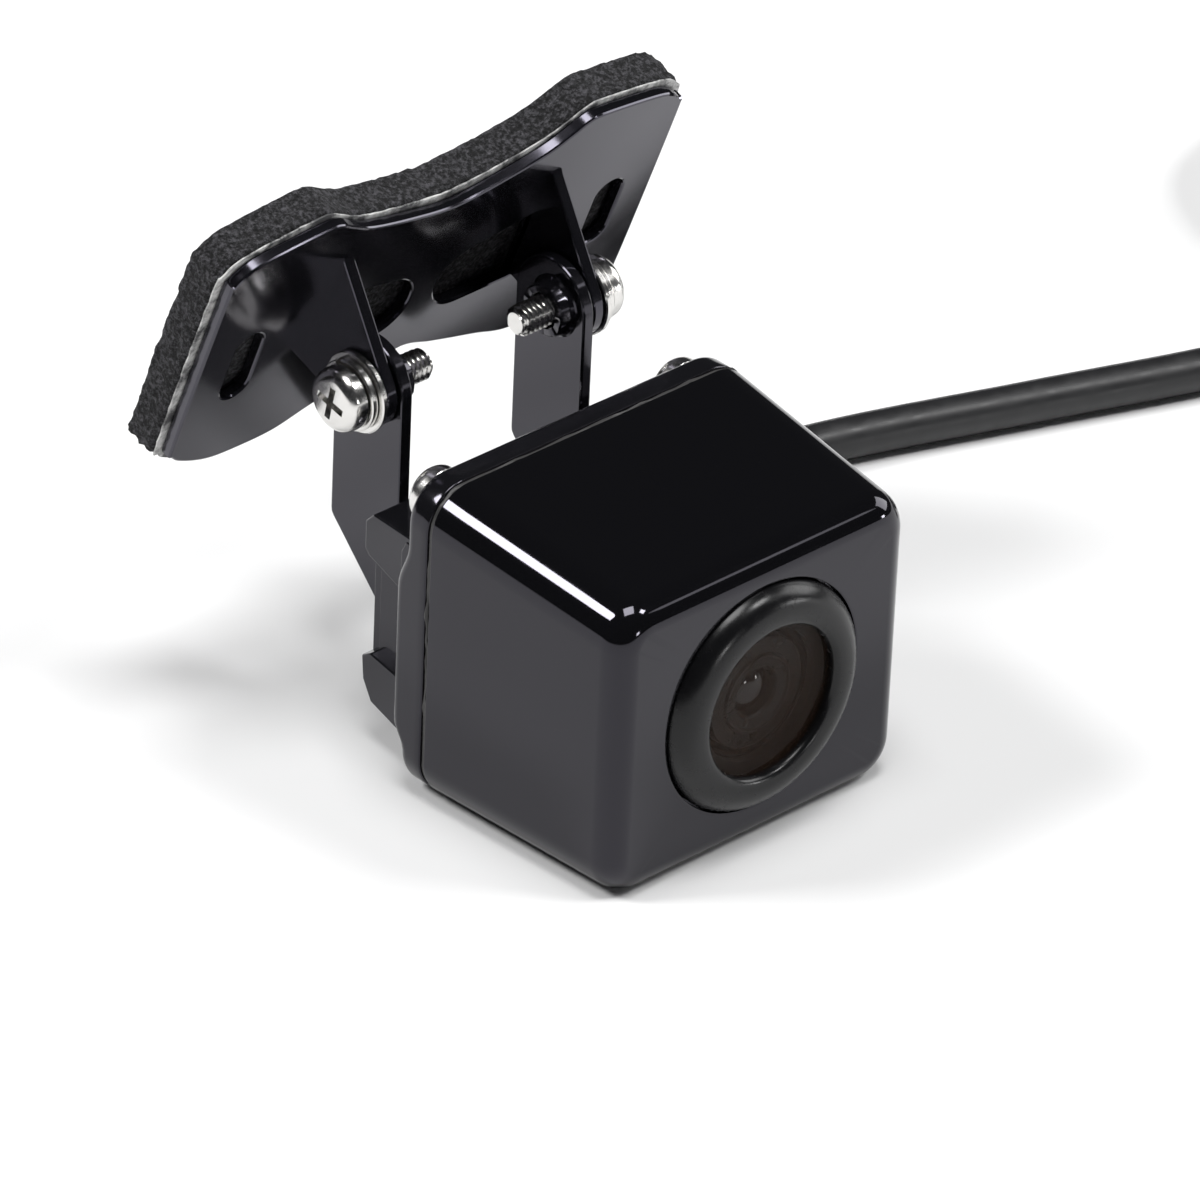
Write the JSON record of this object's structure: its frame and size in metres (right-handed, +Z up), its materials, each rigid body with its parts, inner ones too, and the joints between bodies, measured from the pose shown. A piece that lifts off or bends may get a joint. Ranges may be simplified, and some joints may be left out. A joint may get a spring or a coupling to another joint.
{
  "type": "backup camera",
  "caption": "Small square backup camera with a round lens window, a yoke, a tilting foam-backed mounting plate and a tied lead with a round plug.",
  "frame": {"origin": "on the floor under the middle of the camera and its bracket, the lead left out; the housing stands flat on z = 0", "axes": "+Z up, the lens looks along -Y, the hinge axis is along X"},
  "size_m": [0.1977, 0.05, 0.042],
  "materials": {
    "gloss_black": "high gloss black housing",
    "satin_black": "satin black",
    "dark_glass": "dark tinted window, polished",
    "lens_glass": "coated lens",
    "filter_glass": "polished",
    "nickel": "bright nickel-plated steel",
    "black_paint": "gloss black paint on steel sheet",
    "foam_charcoal": "open-cell adhesive foam, dull",
    "rubber_black": "satin black",
    "board_green": "solder mask",
    "chip_black": "dull",
    "pin_brass": "plated contact",
    "wire_green": "satin insulation",
    "wire_blue": "satin insulation",
    "wire_white": "satin insulation"
  },
  "bodies": {
    "camera": {"front_shell": "gloss_black", "lens_bezel": "satin_black", "cover_glass": "dark_glass", "glass_gasket": "rubber_black", "lens_barrel": "satin_black", "front_lens": "lens_glass", "rear_lens": "lens_glass", "lens_holder": "satin_black", "infrared_filter": "filter_glass", "image_sensor": "chip_black", "sensor_board": "board_green", "board_header": "chip_black", "video_board": "board_green", "video_chip": "chip_black", "housing_gasket": "rubber_black", "rear_cover": "gloss_black", "rear_cover_screw_1": "nickel", "rear_cover_screw_2": "nickel", "rear_cover_screw_3": "nickel", "rear_cover_screw_4": "nickel", "yoke": "black_paint", "yoke_screw_left": "nickel", "yoke_screw_right": "nickel", "hinge_screw_left": "nickel", "hinge_screw_right": "nickel", "flat_washer_left": "nickel", "flat_washer_right": "nickel", "lock_washer_left": "nickel", "lock_washer_right": "nickel", "cable_boot": "rubber_black", "lead_cable": "rubber_black", "cable_hank": "rubber_black", "cable_tie": "rubber_black", "tail_cable_inner": "rubber_black", "tail_cable_outer": "rubber_black", "splice_sleeve": "rubber_black", "jumper_green": "wire_green", "jumper_blue": "wire_blue", "jumper_white": "wire_white", "plug_body": "rubber_black", "plug_nose": "rubber_black", "plug_pin_1": "pin_brass", "plug_pin_2": "pin_brass", "plug_pin_3": "pin_brass", "plug_pin_4": "pin_brass"},
    "bracket": {"mount_plate": "black_paint", "foam_pad": "foam_charcoal"}
  },
  "joints": [
    {"name": "bracket_tilt", "type": "hinge", "parent": "camera", "child": "bracket", "pos_m": [0, 0.01004, 0.0264], "axis": [1, 0, 0], "range_deg": [-25, 65]}
  ]
}
